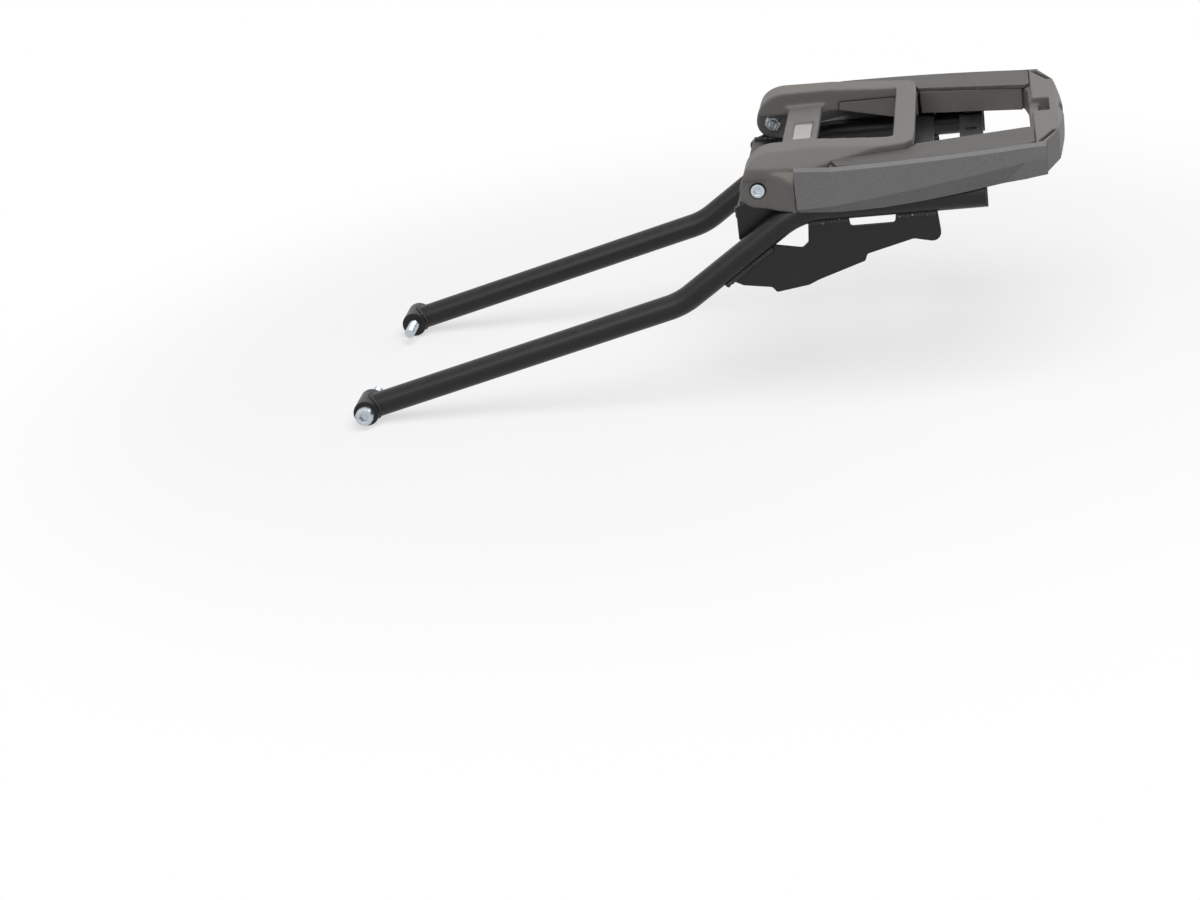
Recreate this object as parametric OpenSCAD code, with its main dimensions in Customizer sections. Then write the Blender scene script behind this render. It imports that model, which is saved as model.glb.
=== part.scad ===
// Top case rack for a motorcycle tail: a moulded carrier plate on a bent steel tube frame.
// Frame: +X to the rear along the deck, +Y to the right-hand side, +Z up from the deck.
// Origin: centre of the crossbar's top face.

/* [Carry loop] */
// Width of the crossbar's flat top, front to rear
crossbar_w = 12; // [10:1:18]
// Length of the hand opening, bridge to crossbar
opening_len = 56; // [44:1:64]
// Width of the hand opening
opening_w = 129; // [118:1:132]
// Height of the arms' highest line above the crossbar
arm_rise = 3; // [1:0.5:5]
// Half width over the arms' top creases at the front
arm_crease_front = 90; // [86:0.5:92]
// Half width over the arms' top creases at the crossbar
arm_crease_rear = 83; // [79:0.5:85]
// Extra half width over the arms' bases at the bridge
flank_spread = 15; // [12:0.5:17]
// Slope of the arms' flanks below the horizontal
flank_slope = 49; // [40:1:60]
// Width of the bridge, front to rear
bridge_w = 25; // [20:1:30]
// Depth of the bridge's top below the crossbar
bridge_drop = 8; // [6:0.5:10]
// Length of the window in the bridge, across the rack
window_len = 44; // [30:1:60]
// Width of the window in the bridge, front to rear
window_w = 14; // [10:0.5:18]
// Depth of the window
window_depth = 3; // [2:0.5:4]
// Thickness of the blank badge plate
badge_t = 1.2; // [0.8:0.2:2]

/* [Noses] */
// Distance from the bridge's front edge to the nose screws
nose_reach = 14; // [10:1:20]
// Depth of the nose screws below the crossbar's top
nose_drop = 22; // [20:0.5:25]
// Radius of the nose round its screw
nose_r = 13; // [11.5:0.5:14]
// Radius of the arm's rounded front end
arm_front_r = 22; // [18:1:24]
// Distance from the tubes' centre lines out to the noses' outer faces
nose_outset = 2.5; // [1:0.5:4]
// Thickness of the nose
nose_t = 18; // [16:0.5:20]

/* [Deck] */
// Depth of the deck's top below the crossbar
deck_drop = 4.5; // [3.5:0.5:6]
// Greatest half width of the deck, near its front
deck_half_front = 113; // [109:0.5:116]
// Narrowing of the deck from its widest edge to the rear block, each side
deck_taper = 16; // [13:0.5:19]
// Width of the rails beside the rear opening
rail_w = 40.5; // [38:0.5:44]
// Length of the rear opening
rear_open_len = 79; // [70:1:84]
// Length of the rear block
block_len = 28; // [24:1:32]
// Depth of the rails' inner walls below the crossbar
rail_depth = 24; // [20:0.5:24.5]
// Wall thickness of the mouldings
wall = 3; // [2:0.5:3.5]
// Thickness of the rail pads
pad_t = 3; // [2:0.5:3.5]
// Thickness of the inner panels
panel_t = 2.5; // [2:0.5:3]
// Visible gap round pads and covers
seam = 0.5; // [0.3:0.1:0.8]

/* [Rear block] */
// Width of the latch notch, across the rack
notch_w = 34; // [24:1:40]
// Length of the latch notch, front to rear
notch_len = 7; // [5:0.5:9]
// Depth of the latch notch
notch_depth = 11; // [6:0.5:13]
// Length of each diagonal slot
slot_len = 30; // [24:1:34]
// Width of each diagonal slot
slot_w = 3; // [2:0.5:4]

/* [Side skirts] */
// Depth of the skirt's lower edge at its front
skirt_drop_front = 38; // [35:0.5:40]
// Depth of the skirt's lower edge at its rear
skirt_drop_rear = 27; // [25:0.5:29]
// Width of the chamfer along the skirt's top edge
skirt_chamfer = 2.5; // [1.5:0.5:3]

/* [Tube frame] */
// Outer diameter of the tubes
tube_d = 18; // [16:0.5:20]
// Wall thickness of the tubes
tube_wall = 2; // [1.5:0.25:2.5]
// Distance from the deck's widest edge in to the tubes' centre lines
tube_inset = 19; // [17:0.5:21]
// Centre line radius of the tube bends
bend_r = 55; // [45:1:65]
// Distance from the crossbar back to the tubes' rear ends
tube_end_x = 55; // [50:1:62]
// Depth of the tubes' level run below the crossbar, at their centre lines
run_drop = 38.8; // [38:0.2:42]
// Distance from the crossbar forward to the upper bend's corner
bend_reach = 74; // [66:1:80]
// Length of the sloping stretch between the bends' corners, measured level
slope_len = 90; // [80:1:100]
// Fall of the sloping stretch
slope_fall = 62.5; // [54:0.5:68]
// Distance from the crossbar forward to the front bosses
boss_reach = 404; // [380:1:430]
// Depth of the front bosses below the crossbar
boss_drop = 162.5; // [150:0.5:170]
// Diameter of the front bosses
boss_d = 19; // [18:0.5:24]
// Length of the front bosses
boss_len = 26; // [24:1:32]

/* [Sheet parts] */
// Thickness of the straps
strap_t = 3; // [2:0.5:4]
// Width of the front strap
front_strap_w = 22; // [18:1:26]
// Width of the rear strap
rear_strap_w = 17; // [15:1:20]
// Thickness of the gussets
gusset_t = 3; // [2:0.5:4]
// Thickness of the front lugs
lug_t = 4; // [3:0.5:5]
// Half distance between the frame holes in the rear strap
frame_hole_half = 30; // [20:1:45]
// Diameter of the frame holes in the rear strap
frame_hole_d = 8.5; // [6.5:0.5:10]

/* [Fasteners] */
// Thread diameter of the boss bolts
boss_bolt_d = 8; // [6:1:10]
// Free length of the boss bolts past the bosses
boss_bolt_free = 20; // [14:1:30]
// Thread diameter of the nose screws
nose_screw_d = 6; // [5:1:6]
// Thread diameter of the strap screws
strap_screw_d = 6; // [5:1:6]
// Radial clearance of a screw in its hole
hole_clear = 0.2; // [0.1:0.05:0.4]

/* [Hidden] */
$fn = 48;
big = 400;

// Stations along the rack
opening_x1 = -crossbar_w / 2;
opening_x0 = opening_x1 - opening_len;
bridge_x0 = opening_x0 - bridge_w;
nose_x = bridge_x0 - nose_reach;
loop_x1 = crossbar_w / 2 + 3;
rail_x0 = opening_x0 + 12;
block_x0 = loop_x1 + rear_open_len;
block_x1 = block_x0 + block_len - 2;
pad_x1 = block_x0 + 4;
skirt_x0 = nose_x + 27;
skirt_x1 = block_x0 + 11;
widest_x = rail_x0 + 2;
deck_half_rear = deck_half_front - deck_taper;

// Heights
deck_z = -deck_drop;
rail_z = deck_z - pad_t;
arm_bottom_z = -14;
run_z = -run_drop;
opening_half = opening_w / 2;

// Corners and edges of the mouldings
crossbar_corner_r = 3;
bridge_corner_r = 5;
skirt_turn_in = 3.5;

// Tubes: each straight ends inside its bend, which is a little larger
tube_y = deck_half_front - tube_inset;
bend_lap = 1;
bend_swell = 0.06;
tube_gap = 0.5;
tube_path = [[-boss_reach, -boss_drop], [-bend_reach - slope_len, run_z - slope_fall],
             [-bend_reach, run_z], [tube_end_x, run_z]];
boss_out = tube_y + boss_len / 2;
boss_in = boss_out - boss_len;

// Noses, lugs and crossmember
nose_half = tube_y + nose_outset;
ear_inner = nose_half - nose_t;
lug_half = tube_y - (tube_d + bend_swell) / 2;
lug_r = 9;
lug_ahead = 18;
lug_behind = 16;
lug_depth = 44;
lug_foot_z = -nose_drop - lug_depth;
cross_h = 11;
cross_w = 19;
cross_top_z = -nose_drop - nose_r - seam;

// Straps and their screws
strap_z = run_z + tube_d / 2;
strap_past = 4;
strap_boss_d = 14;
strap_screw_y = lug_half - 9;
front_strap_x = loop_x1;
front_screw_x = loop_x1 - strap_boss_d / 2;
rear_strap_x = tube_end_x - rear_strap_w / 2 + 1;
screw_xs = [front_screw_x, rear_strap_x];

// Fasteners
thread_relief = 0.4;
boss_head_d = 13;
nose_head_d = 10;
nose_head_h = 5;
nose_seat = nose_half - 4;
nut_d = 11.5;
nut_h = 5;
nut_overhang = 3;
insert_d = 8.5;
insert_len = 12;
washer_t = 1.5;

// Colours
plastic = [0.30, 0.29, 0.28];
dark_plastic = [0.20, 0.20, 0.20];
black_steel = [0.07, 0.07, 0.075];
zinc = [0.72, 0.75, 0.78];
silver = [0.78, 0.78, 0.77];

// Half width of the deck's outer edge at station x
function deck_out(x) = x < widest_x
    ? deck_half_front - 0.25 * (widest_x - x)
    : x > block_x0 ? deck_half_rear - (x - block_x0) / (skirt_x1 - block_x0)
    : deck_half_rear + deck_taper
      * (1 - pow((x - widest_x) / (block_x0 - widest_x), 2));

// Half width of the rear opening at station x
function open_half(x) = deck_half_front - rail_w - deck_taper * (x - loop_x1) / rear_open_len;

// Half width at the arm's top crease and at its base
function crease_half(x) = arm_crease_front
    + (arm_crease_rear - arm_crease_front) * (x - nose_x) / (loop_x1 - nose_x);
function base_half(x) = arm_crease_rear + flank_spread * (loop_x1 - 6 - x) / (loop_x1 - 6 - opening_x0);

// Stations of the deck's curved outer edge, front to rear
rail_xs = concat(steps(widest_x, block_x0 - wall, 8), [block_x0]);
function rail_edge(inset, x1) = [for (i = [len(rail_xs) - 1:-1:0]) if (rail_xs[i] <= x1)
    [rail_xs[i], deck_out(rail_xs[i]) - inset]];

function steps(a, b, n) = [for (i = [0:n]) a + (b - a) * i / n];
function flat(v) = [for (a = v) for (b = a) b];

// Both halves of an outline that is symmetric about the X axis, from its right half
function both_halves(p) = concat(p, [for (i = [len(p) - 1:-1:0]) [p[i].x, -p[i].y]]);

// Points of an arc about [cx, cy]
function arc(cx, cy, r, a0, a1, n = 8) = [for (a = steps(a0, a1, n)) [cx + r * cos(a), cy + r * sin(a)]];

// Rounds the corners of an outline: each point is [x, y, radius]
function rounded(p, n = 5) = flat([for (i = [0:len(p) - 1])
    let(a = p[(i + len(p) - 1) % len(p)], b = p[i], c = p[(i + 1) % len(p)],
        u = [a.x - b.x, a.y - b.y] / norm([a.x - b.x, a.y - b.y]),
        v = [c.x - b.x, c.y - b.y] / norm([c.x - b.x, c.y - b.y]),
        half = acos(u * v) / 2, w = (u + v) / norm(u + v), r = b[2],
        m = [b.x, b.y] + w * r / sin(half),
        s = atan2((-v.y * u.x + v.x * u.y) > 0 ? 1 : -1, 0) > 0 ? 1 : -1,
        a0 = atan2((b.y + u.y * r / tan(half)) - m.y, (b.x + u.x * r / tan(half)) - m.x),
        a1 = atan2((b.y + v.y * r / tan(half)) - m.y, (b.x + v.x * r / tan(half)) - m.x),
        d = (a1 - a0 + 540) % 360 - 180)
    r <= 0 ? [[b.x, b.y]] : [for (k = [0:n]) m + r * [cos(a0 + d * k / n), sin(a0 + d * k / n)]]]);

// Solid through a row of rings that all have the same number of points
module loft(rings) {
    n = len(rings[0]);
    m = len(rings);
    polyhedron(
        points = flat(rings),
        faces = concat(
            [[for (i = [0:n - 1]) i]],
            [[for (i = [n - 1:-1:0]) (m - 1) * n + i]],
            flat([for (k = [0:m - 2]) flat([for (i = [0:n - 1])
                let(j = (i + 1) % n, a = k * n)
                [[a + i, a + n + i, a + n + j], [a + i, a + n + j, a + j]]])])),
        convexity = 6);
}

// Profile in X and Z, given a width in Y between two planes
module across(y0, y1) {
    translate([0, y1, 0]) rotate([90, 0, 0]) linear_extrude(height = y1 - y0, convexity = 8) children();
}

// Round bar along Y
module rod_y(x, z, d, y0, y1) {
    translate([x, y0, z]) rotate([-90, 0, 0]) cylinder(d = d, h = y1 - y0);
}

// Draws a right-hand piece, or its mirror image on the left
module hand(side) {
    if (side == "right") children();
    else mirror([0, 1, 0]) children();
}

// Carry loop

// Outline of the arms and the crossbar in plan: a U that is open to the front
module loop_plan() {
    r = crossbar_corner_r;
    polygon(both_halves(concat(
        arc(opening_x1 - r, opening_half - r, r, 0, 90, 5),
        [[nose_x - nose_r - 2, opening_half], [nose_x - nose_r - 2, base_half(opening_x0)],
         [opening_x0, base_half(opening_x0)], [loop_x1 - 6, arm_crease_rear],
         [loop_x1 - 1, arm_crease_rear - 7], [loop_x1, arm_crease_rear - 23]])));
}

// Side view of the arms: round front end, gentle rise, flat crossbar
module arm_side() {
    arc_x = nose_x - nose_r + 2 + arm_front_r;
    start = 180 - asin((arm_bottom_z - arm_rise) / arm_front_r + 1);
    polygon(concat(
        arc(arc_x, arm_rise - arm_front_r, arm_front_r, start, 90, 14),
        [[opening_x0 + 6, arm_rise], [opening_x1 - 6, 0], [loop_x1, 0], [loop_x1, rail_z],
         [rail_x0, rail_z], [rail_x0, arm_bottom_z]]));
}

// What the sloping flank takes off one arm, from its top crease outwards
module flank_cut() {
    translate([nose_x, arm_crease_front, arm_rise])
        rotate([0, 0, atan2(arm_crease_rear - arm_crease_front, loop_x1 - nose_x)])
        rotate([-flank_slope, 0, 0])
        translate([-60, -15, 0]) cube([240, 80, 60]);
}

// Channel under the arms and the crossbar
module loop_hollow() {
    for (m = [0, 1]) mirror([0, m, 0])
        translate([bridge_x0 + 4, opening_half + wall, arm_bottom_z - 1])
            cube([rail_x0 - bridge_x0 - 4 - wall, crease_half(0) - opening_half - 2 * wall,
                  1 - arm_bottom_z - wall + arm_rise]);
    for (m = [0, 1]) mirror([0, m, 0])
        translate([rail_x0 + wall, opening_half + wall, rail_z - 1])
            cube([-wall - rail_x0 - crossbar_w / 2, crease_half(0) - opening_half - 2 * wall,
                  1 - rail_z - wall]);
}

// Lower nose with the neck that runs back to the skirt
module nose_neck() {
    intersection() {
        across(0, 130) polygon(concat(
            arc(nose_x, -nose_drop, nose_r, 270, 148, 10),
            [[nose_x - 6, arm_bottom_z + 4], [nose_x + 4, arm_bottom_z + 4],
             [skirt_x0 - seam, arm_bottom_z + 3], [skirt_x0 - seam, -skirt_drop_front],
             [nose_x + 12, -skirt_drop_front + 1]]));
        linear_extrude(height = 2 * big, center = true) polygon([
            [nose_x - 20, ear_inner], [nose_x + 12, ear_inner], [skirt_x0, nose_half - 2],
            [skirt_x0, deck_out(skirt_x0)], [nose_x + 5, nose_half], [nose_x - 20, nose_half]]);
    }
}

// Bridge between the arms, with the window for the badge plate
module bridge() {
    r = bridge_corner_r;
    difference() {
        translate([0, 0, arm_bottom_z]) linear_extrude(height = -bridge_drop - arm_bottom_z)
            polygon(both_halves(concat(
                arc(bridge_x0 - r, opening_half - r, r, 0, 90, 5),
                [[bridge_x0 - r, opening_half + 1], [opening_x0 + r, opening_half + 1]],
                arc(opening_x0 + r, opening_half - r, r, 90, 180, 5))));
        translate([bridge_x0 + bridge_w / 2 - window_w / 2 + 1, -window_len / 2, -bridge_drop - window_depth])
            cube([window_w, window_len, window_depth + 1]);
    }
}

module carry_loop() {
    color(plastic) difference() {
        union() {
            intersection() {
                translate([0, 0, -60]) linear_extrude(height = 80) loop_plan();
                across(-130, 130) arm_side();
            }
            bridge();
            for (m = [0, 1]) mirror([0, m, 0]) nose_neck();
        }
        loop_hollow();
        for (m = [0, 1]) mirror([0, m, 0]) {
            tube_envelope(tube_gap);
            // Screw hole, head recess and washer seat
            rod_y(nose_x, -nose_drop, nose_screw_d + 2 * hole_clear, 50, 130);
            rod_y(nose_x, -nose_drop, nose_head_d + 1.5, nose_seat, 130);
            flank_cut();
            // Slot for the steel lug
            translate([nose_x - nose_r - 1, lug_half - lug_t - seam / 2, -nose_drop - nose_r - 20])
                cube([2 * nose_r + 4, lug_t + seam, 20 + nose_r + lug_r + seam]);
        }
    }
}

module badge_plate() {
    color(silver) translate([bridge_x0 + bridge_w / 2 - window_w / 2 + 1 + seam,
                             -window_len / 2 + seam, -bridge_drop - window_depth])
        cube([window_w - 2 * seam, window_len - 2 * seam, badge_t]);
}

// Rear deck

// Outline of the rear deck in plan: both rails and the rear block
module deck_plan() {
    polygon(both_halves(concat(
        [[block_x1 - 3, 7], [block_x1, 10], [block_x1 - 1, 30],
         [block_x1 - 5, deck_half_rear - 31], [skirt_x1, deck_out(skirt_x1)]],
        rail_edge(0, block_x0),
        [[rail_x0, deck_out(rail_x0)], [rail_x0, opening_half + 1], [loop_x1, opening_half + 1],
         [loop_x1, open_half(loop_x1) + panel_t],
         [block_x0 - 1, open_half(block_x0 - 1) + panel_t],
         [block_x0 + 2, open_half(block_x0) - 8]])));
}

// Side view of the rear deck: low rails under the pads, high block with a bevelled end
module deck_side() {
    polygon([[rail_x0 - 1, rail_z], [pad_x1, rail_z], [pad_x1, deck_z], [block_x1 - 4, deck_z],
             [block_x1 + 2, deck_z - 8], [block_x1 + 2, -skirt_drop_rear + 6],
             [block_x1 - 4, -skirt_drop_rear], [block_x0 + 2, -skirt_drop_rear],
             [block_x0 - 1, -rail_depth], [opening_x1, -rail_depth], [rail_x0 - 1, arm_bottom_z]]);
}

// Hollow of one rail, and the hollow of the rear block
module rail_core() {
    polygon(concat(
        rail_edge(wall, block_x0 - wall),
        [[rail_x0 + wall, deck_out(rail_x0) - wall], [rail_x0 + wall, opening_half + 1 + wall],
         [loop_x1 + wall, opening_half + 1 + wall],
         [loop_x1 + wall, open_half(loop_x1) + panel_t + wall],
         [block_x0 - wall, open_half(block_x0) + panel_t + wall]]));
}

module block_core() {
    polygon(both_halves([
        [block_x1 - 3 - wall, 30], [block_x1 - 9, deck_half_rear - 32],
        [block_x1 - 17, deck_half_rear - wall - 1],
        [block_x0 + 2 + wall, deck_half_rear - wall - 1]]));
}

// Region outboard of the rails' hollows, where the outer lip is short
module lip_strip() {
    polygon(concat(
        rail_edge(wall + 1, block_x0 - wall),
        [[rail_x0 - 1, deck_out(rail_x0) - wall - 1], [rail_x0 - 1, big], [block_x0 - wall, big]]));
}

module rear_deck() {
    hollow_z = rail_z - wall;
    color(dark_plastic) difference() {
        union() {
            difference() {
                intersection() {
                    translate([0, 0, -big]) linear_extrude(height = big) deck_plan();
                    across(-big, big) deck_side();
                }
                for (m = [0, 1]) mirror([0, m, 0]) {
                    translate([0, 0, -big]) linear_extrude(height = big + hollow_z) rail_core();
                    translate([0, 0, -big]) linear_extrude(height = big + rail_z - 9) lip_strip();
                }
                // Hollow of the block, with ribs and the notch's box left standing
                difference() {
                    translate([0, 0, -big]) linear_extrude(height = big + hollow_z) block_core();
                    for (y = [-70, -notch_w / 2 - wall, notch_w / 2, 67])
                        translate([block_x0, y, -50]) cube([block_len, wall, 50]);
                    translate([block_x0, -notch_w / 2 - wall, deck_z - notch_depth - wall])
                        cube([block_len, notch_w + 2 * wall, 20]);
                }
            }
            for (y = [-strap_screw_y, strap_screw_y]) for (x = screw_xs) translate([x, y, strap_z + strap_t])
                cylinder(d = strap_boss_d, h = rail_z - strap_z - strap_t - 0.5);
        }
        for (y = [-strap_screw_y, strap_screw_y]) for (x = screw_xs) translate([x, y, strap_z + strap_t - 1])
            cylinder(d = insert_d, h = insert_len + 1);
        // Latch notch and its lead-in channel
        translate([block_x1 - 10 - notch_len, -notch_w / 2, deck_z - notch_depth])
            cube([notch_len, notch_w, notch_depth + 1]);
        translate([block_x0 - 1, -notch_w / 2, deck_z - notch_depth / 2])
            cube([block_x1 - 8 - block_x0 - notch_len, notch_w, notch_depth]);
        // Diagonal slots
        for (m = [0, 1]) mirror([0, m, 0])
            translate([block_x1 - 13.5, deck_half_rear - 17, deck_z - 9]) rotate([0, 0, 23])
                translate([-slot_w / 2, -slot_len / 2, 0]) cube([slot_w, slot_len, 10]);
    }
}

// Pads, panels and skirts
module rail_pad(side) {
    xs = steps(widest_x, block_x0, 8);
    color(plastic) hand(side) translate([0, 0, rail_z]) linear_extrude(height = pad_t) polygon(concat(
        [[rail_x0 + 1, base_half(rail_x0) + seam], [widest_x + 4, deck_out(widest_x) - 3]],
        [for (x = xs) if (x > widest_x + 6) [x, deck_out(x) - seam]],
        [[pad_x1 - 3 - seam, deck_out(pad_x1) - 1.5], [pad_x1 - seam, deck_out(pad_x1) - 4],
         [pad_x1 - seam, open_half(pad_x1) + 3], [pad_x1 - 3 - seam, open_half(pad_x1)],
         [loop_x1 + seam, open_half(loop_x1) + seam],
         [loop_x1 + seam, crease_half(loop_x1) - 22 + 14],
         [loop_x1 - 5.5, base_half(loop_x1 - 6) + seam]]));
}

module inner_panel(side) {
    color(plastic) hand(side) loft([for (x = [loop_x1 + 2, block_x0 - 2])
        let(i = open_half(x))
        [[x, i, rail_z], [x, i, -rail_depth], [x, i + panel_t, -rail_depth], [x, i + panel_t, rail_z]]]);
}

// Depth of the crease where the skirt turns inwards, and of its lower edge
function skirt_bottom_z(x) = -skirt_drop_front
    + (skirt_drop_front - skirt_drop_rear) * pow(max(0, (x + 20) / (skirt_x1 + 20)), 1.3);
function skirt_crease_z(x) = max(skirt_bottom_z(x) + 1, -33 + 18 * (x + 62) / (skirt_x1 + 62));

module side_skirt(side) {
    xs = concat([skirt_x0], rail_xs, [skirt_x1]);
    color(dark_plastic) hand(side) loft([for (x = xs) let(
            i = deck_out(x), o = i + skirt_chamfer, zc = skirt_crease_z(x), zb = skirt_bottom_z(x),
            t = deck_z, in = x < block_x0 - wall ? skirt_turn_in : -0.5)
        [[x, i, t], [x, i, t - wall - 5], [x, i + 0.5, zc], [x, i - in, zb + 1.5],
         [x, i - in + 0.5, zb], [x, i - in + 2.5, zb], [x, o + 1, zc], [x, o, t - skirt_chamfer]]]);
}

// Tube frame: corner points of the centre line in X and Z

function heading(a, b) = atan2(b.y - a.y, b.x - a.x);
function turn(i) = heading(tube_path[i], tube_path[i + 1]) - heading(tube_path[i - 1], tube_path[i]);
function setback(i) = i == 0 || i == 3 ? 0 : bend_r * tan(abs(turn(i)) / 2);

// Sweeps a section along the centre line: the first child on the straights, the second, a little
// larger, round the bends, so that each straight ends inside its bend
module tube_sweep() {
    for (i = [0:2]) let(
            a = tube_path[i], b = tube_path[i + 1], h = heading(a, b),
            s = setback(i) - (i > 0 ? bend_lap : 0), e = setback(i + 1) - (i < 2 ? bend_lap : 0))
        translate([a.x + s * cos(h), 0, a.y + s * sin(h)])
            rotate([0, 90 - h, 0]) linear_extrude(height = norm(b - a) - s - e) children(0);
    for (i = [1:2]) let(
            a = tube_path[i - 1], b = tube_path[i], h = heading(a, b), t = turn(i), g = sign(t),
            s = setback(i),
            c = [b.x - s * cos(h) - g * bend_r * sin(h), b.y - s * sin(h) + g * bend_r * cos(h)])
        translate([c.x, 0, c.y]) rotate([90, 0, 0]) rotate([0, 0, h - g * 90 + min(t, 0)])
            rotate_extrude(angle = abs(t)) translate([bend_r, 0]) children(1);
}

module ring(od, id) {
    difference() {
        circle(d = od);
        circle(d = id);
    }
}

module tube_envelope(clear = 0) {
    translate([0, tube_y, 0]) tube_sweep() {
        circle(d = tube_d + 2 * clear);
        circle(d = tube_d + 2 * clear + bend_swell);
    }
}

module side_tube(side) {
    color(black_steel) hand(side) difference() {
        translate([0, tube_y, 0]) tube_sweep() {
            ring(tube_d, tube_d - 2 * tube_wall);
            ring(tube_d + bend_swell, tube_d - 2 * tube_wall - bend_swell);
        }
        rod_y(-boss_reach, -boss_drop, boss_d, tube_y - tube_d, tube_y + tube_d);
    }
}

module front_boss(side) {
    color(black_steel) hand(side) difference() {
        rod_y(-boss_reach, -boss_drop, boss_d, boss_in, boss_out);
        rod_y(-boss_reach, -boss_drop, boss_bolt_d + 2 * hole_clear, boss_in - 1, boss_out + 1);
    }
}

// Hex-socket screw along Y: head outside, plain shank, then the slightly thinner thread inwards
module socket_screw(x, z, d, head_y, shank_len, thread_len, head_d, head_h) {
    difference() {
        union() {
            rod_y(x, z, d - thread_relief, head_y - shank_len - thread_len, head_y);
            rod_y(x, z, d, head_y - shank_len, head_y);
            rod_y(x, z, head_d, head_y, head_y + head_h);
        }
        translate([x, head_y + head_h * 0.4, z]) rotate([-90, 0, 0])
            cylinder(d = d * 0.9, h = head_h, $fn = 6);
    }
}

module boss_bolt(side) {
    color(zinc) hand(side) socket_screw(-boss_reach, -boss_drop, boss_bolt_d, boss_out,
        boss_len, boss_bolt_free, boss_head_d, boss_bolt_d);
}

module tube_end_cap(side) {
    color(dark_plastic) hand(side) translate([tube_end_x, tube_y, run_z]) rotate([0, 90, 0]) {
        cylinder(d = tube_d, h = 2);
        translate([0, 0, -9]) cylinder(d = tube_d - 2 * tube_wall, h = 9);
    }
}

// Front lugs and crossmember
module front_lug(side) {
    color(black_steel) hand(side) difference() {
        union() {
            rod_y(nose_x, -nose_drop, 2 * lug_r, lug_half - lug_t, lug_half);
            across(lug_half - lug_t, lug_half)
                polygon([[nose_x - 0.8 * lug_r, -nose_drop], [nose_x + 0.8 * lug_r, -nose_drop],
                         [nose_x + lug_behind, lug_foot_z + 14], [nose_x - 4, lug_foot_z],
                         [nose_x - lug_ahead, lug_foot_z + 6], [nose_x - lug_ahead, cross_top_z - 1],
                         [nose_x - lug_r, cross_top_z + 3]]);
        }
        rod_y(nose_x, -nose_drop, nose_screw_d + 2 * hole_clear, lug_half - lug_t - 1, lug_half + 1);
    }
}

module front_crossmember() {
    color(black_steel) across(-lug_half + lug_t, lug_half - lug_t) difference() {
        translate([nose_x - lug_ahead + 1, cross_top_z - cross_h]) square([cross_w, cross_h]);
        translate([nose_x - lug_ahead + 1 + strap_t, cross_top_z - cross_h - 1])
            square([cross_w - 2 * strap_t, cross_h + 1 - strap_t]);
    }
}

// Straps
module strap(x, w, screw_x) {
    difference() {
        translate([x - w / 2, -tube_y - strap_past, strap_z]) cube([w, 2 * (tube_y + strap_past), strap_t]);
        for (y = [-strap_screw_y, strap_screw_y]) translate([screw_x, y, strap_z - 1])
            cylinder(d = strap_screw_d + 2 * hole_clear, h = strap_t + 2);
    }
}

module front_strap() {
    color(black_steel) strap(front_strap_x, front_strap_w, front_screw_x);
}

module rear_strap() {
    color(black_steel) difference() {
        strap(rear_strap_x, rear_strap_w, rear_strap_x);
        for (y = [-frame_hole_half, frame_hole_half]) translate([rear_strap_x, y, strap_z - 1])
            cylinder(d = frame_hole_d, h = strap_t + 2);
    }
}

// Gusset sheet under the tube
module gusset_profile() {
    difference() {
        polygon(rounded([[-132, run_z - 45, 0], [-118, run_z - 52, 3], [-98, run_z - 55, 3],
                         [-95, run_z - 59, 2], [-72, run_z - 55.5, 3], [-64, run_z - 52, 4],
                         [-31, run_z - 41, 1.5], [-29, run_z - 36, 1.5], [4, run_z - 27.5, 6],
                         [24, run_z - 32, 6], [21, run_z, 0], [-70, run_z, 0]]));
        // Relief at the bend
        polygon(rounded([[-95, run_z - 24, 0], [-74, run_z - 28, 3], [-69.5, run_z - 24, 2],
                         [-67.5, run_z, 0], [-85, run_z - 4, 0]]));
        // Gap between the two weld tabs
        polygon(rounded([[-41, run_z, 0], [-39, run_z - 15, 2], [-8, run_z - 15, 2], [-6, run_z, 0]]));
    }
}

module gusset(side) {
    color(black_steel) hand(side) difference() {
        across(tube_y - gusset_t / 2, tube_y + gusset_t / 2) gusset_profile();
        tube_envelope();
    }
}

// Fasteners
module nose_screws() {
    color(zinc) for (m = [0, 1]) mirror([0, m, 0])
        socket_screw(nose_x, -nose_drop, nose_screw_d, nose_seat, nose_seat - ear_inner + washer_t,
                     nut_h + nut_overhang, nose_head_d, nose_head_h);
}

module ring_y(x, z, od, id, y0, y1) {
    difference() {
        rod_y(x, z, od, y0, y1);
        rod_y(x, z, id, y0 - 1, y1 + 1);
    }
}

module nose_washers() {
    color(zinc) for (m = [0, 1]) mirror([0, m, 0])
        ring_y(nose_x, -nose_drop, 2 * nose_screw_d, nose_screw_d + 2 * hole_clear,
               ear_inner - washer_t, ear_inner);
}

module nose_nuts() {
    color(zinc) for (m = [0, 1]) mirror([0, m, 0]) difference() {
        translate([nose_x, ear_inner - washer_t - nut_h, -nose_drop]) rotate([-90, 0, 0])
            cylinder(d = nut_d, h = nut_h, $fn = 6);
        rod_y(nose_x, -nose_drop, nose_screw_d - thread_relief,
              ear_inner - washer_t - nut_h - 1, ear_inner);
    }
}

module strap_screws() {
    color(zinc) for (m = [0, 1]) mirror([0, m, 0]) for (x = screw_xs)
        translate([x, strap_screw_y, strap_z - washer_t]) difference() {
            union() {
                cylinder(d = strap_screw_d, h = strap_t + washer_t + insert_len - 2);
                translate([0, 0, -4]) cylinder(d = 10.5, h = 4);
            }
            translate([0, 0, -5]) cylinder(d = 4.6, h = 3, $fn = 6);
        }
}

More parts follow.
